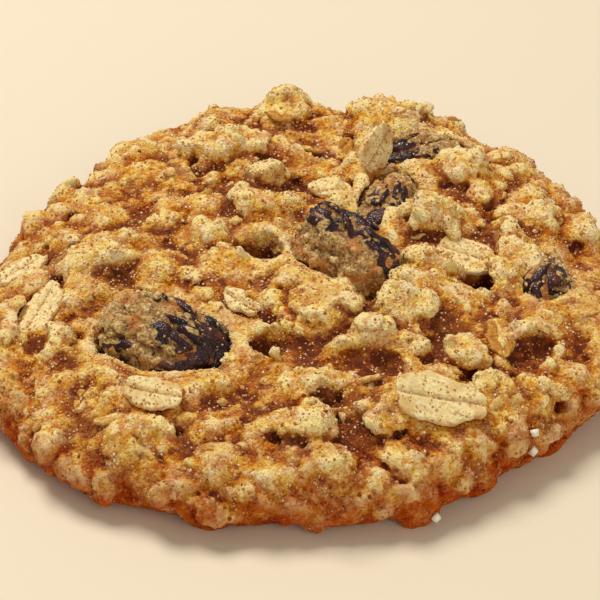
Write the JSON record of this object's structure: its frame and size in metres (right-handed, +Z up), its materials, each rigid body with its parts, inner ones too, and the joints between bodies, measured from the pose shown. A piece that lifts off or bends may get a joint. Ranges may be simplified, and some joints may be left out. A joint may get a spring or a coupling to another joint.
{
  "type": "oatmeal raisin cookie",
  "caption": "Round, uncut oatmeal raisin cookie: one lumpy baked piece of oat dough with raisins and oat flakes set into its craggy top, resting on a flat browned base.",
  "frame": {"origin": "under the middle of the cookie, on the surface that it rests on", "axes": "+Z up through the thickness; -Y towards the front, the side nearest the viewer; +X to the right"},
  "size_m": [0.0734, 0.075, 0.0138],
  "materials": {
    "baked_dough": "rough baked oat dough, golden on its lumps and dark brown in its crevices",
    "raisin": "wrinkled, dark purple-brown, satin to glossy skin",
    "oat_flake": "dry, matt, cream-coloured rolled oat",
    "sugar": "small clear to white sugar crystals"
  },
  "bodies": {
    "root": {"dough": "baked_dough", "raisin_front_left": "raisin", "raisin_middle": "raisin", "raisin_behind_middle": "raisin", "raisin_back": "raisin", "raisin_right": "raisin", "oat_front_right": "oat_flake", "oat_left": "oat_flake", "oat_far_left": "oat_flake", "oat_standing": "oat_flake", "oat_ridge": "oat_flake", "oat_behind": "oat_flake", "oat_front_left": "oat_flake", "oat_split": "oat_flake"}
  },
  "joints": []
}
